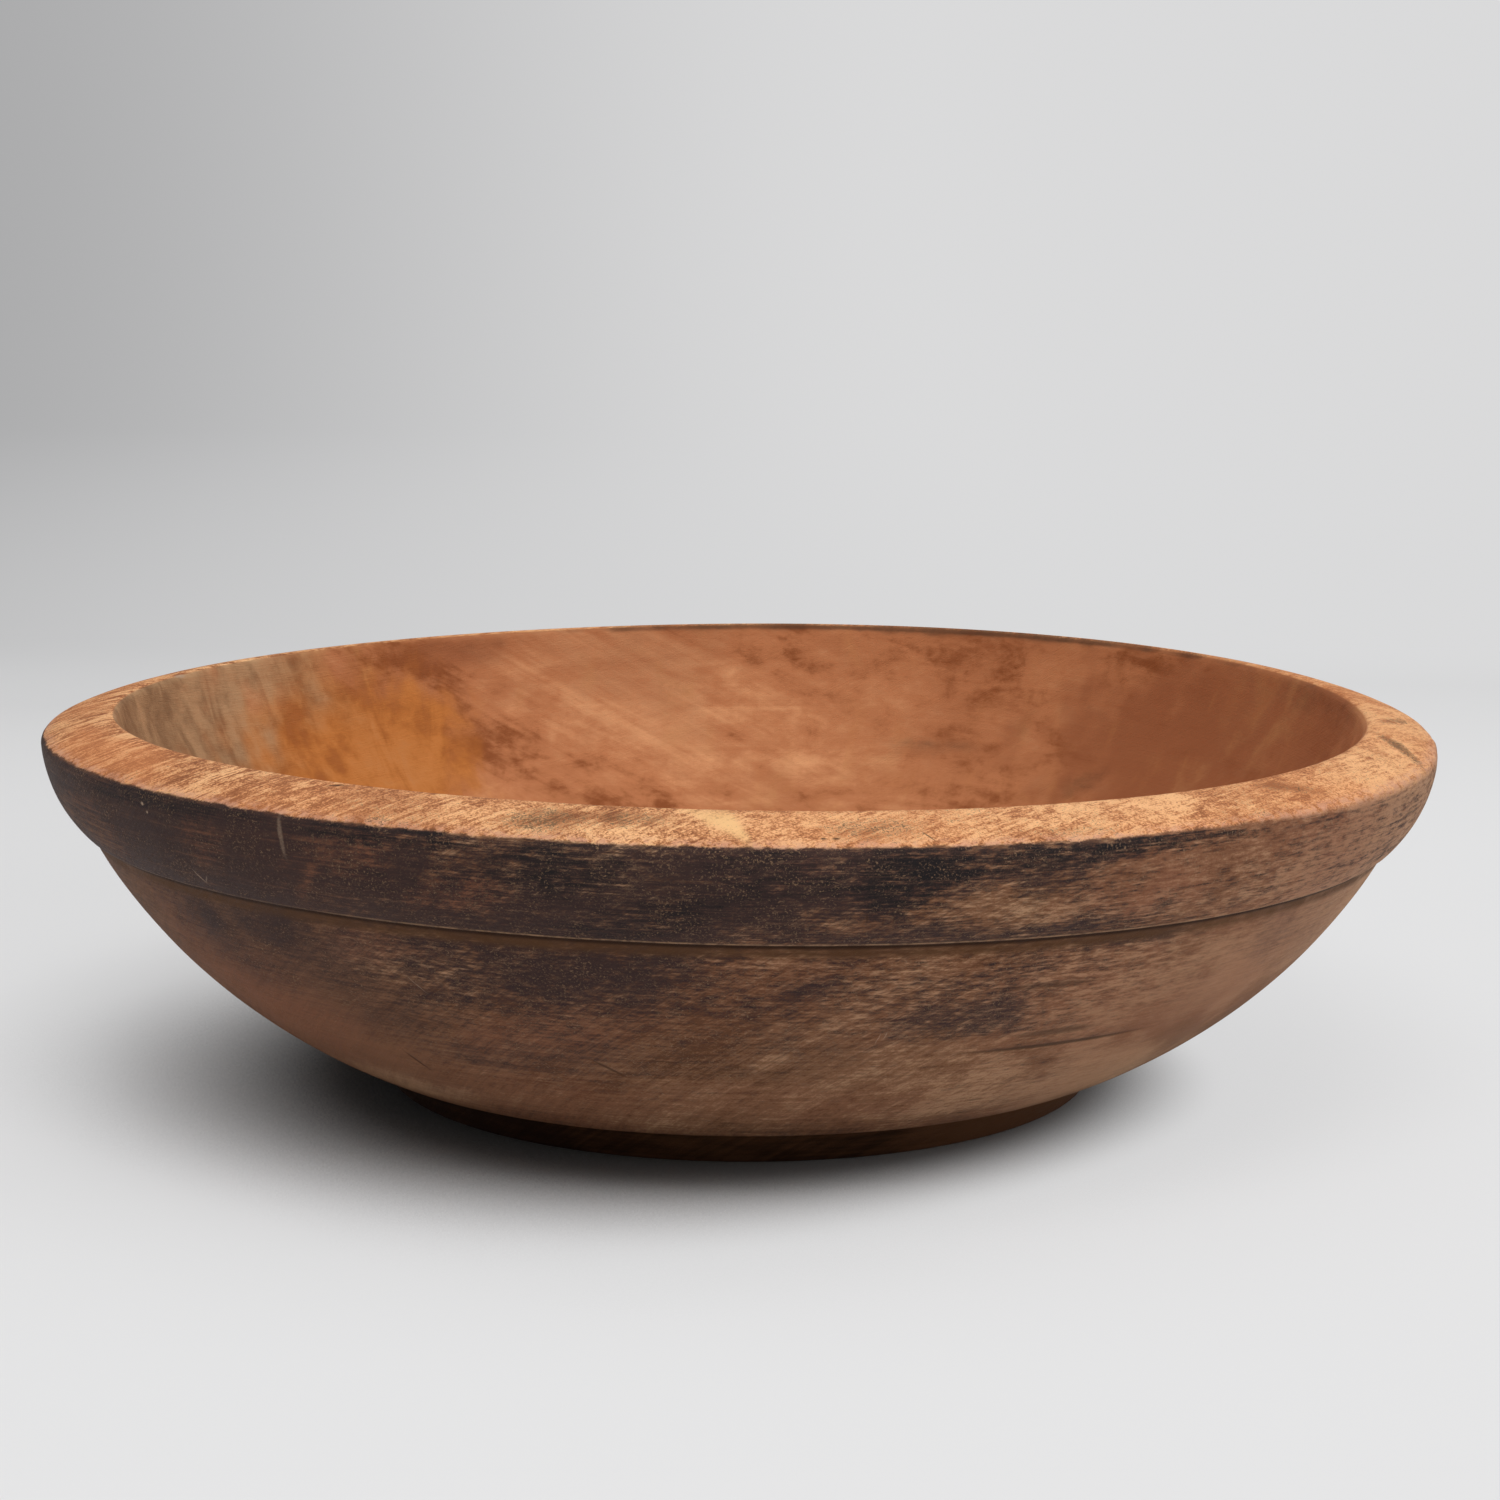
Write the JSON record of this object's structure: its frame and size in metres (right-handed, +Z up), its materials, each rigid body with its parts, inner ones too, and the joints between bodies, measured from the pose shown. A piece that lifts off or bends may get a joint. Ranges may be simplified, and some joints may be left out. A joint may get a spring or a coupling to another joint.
{
  "type": "dough bowl",
  "caption": "Wide shallow turned wooden bowl with a thick sloping rim, a bulged band ending in a small lip, a curved wall and a low round foot, for mixing and proving dough.",
  "frame": {"origin": "centre of the foot's underside, where the bowl rests", "axes": "+Z up along the turning axis; X and Y lie across the rim"},
  "size_m": [0.5198, 0.5198, 0.1433],
  "materials": {
    "wood": "worn satin with dark patina"
  },
  "bodies": {
    "root": {"bowl": "wood"}
  },
  "joints": []
}
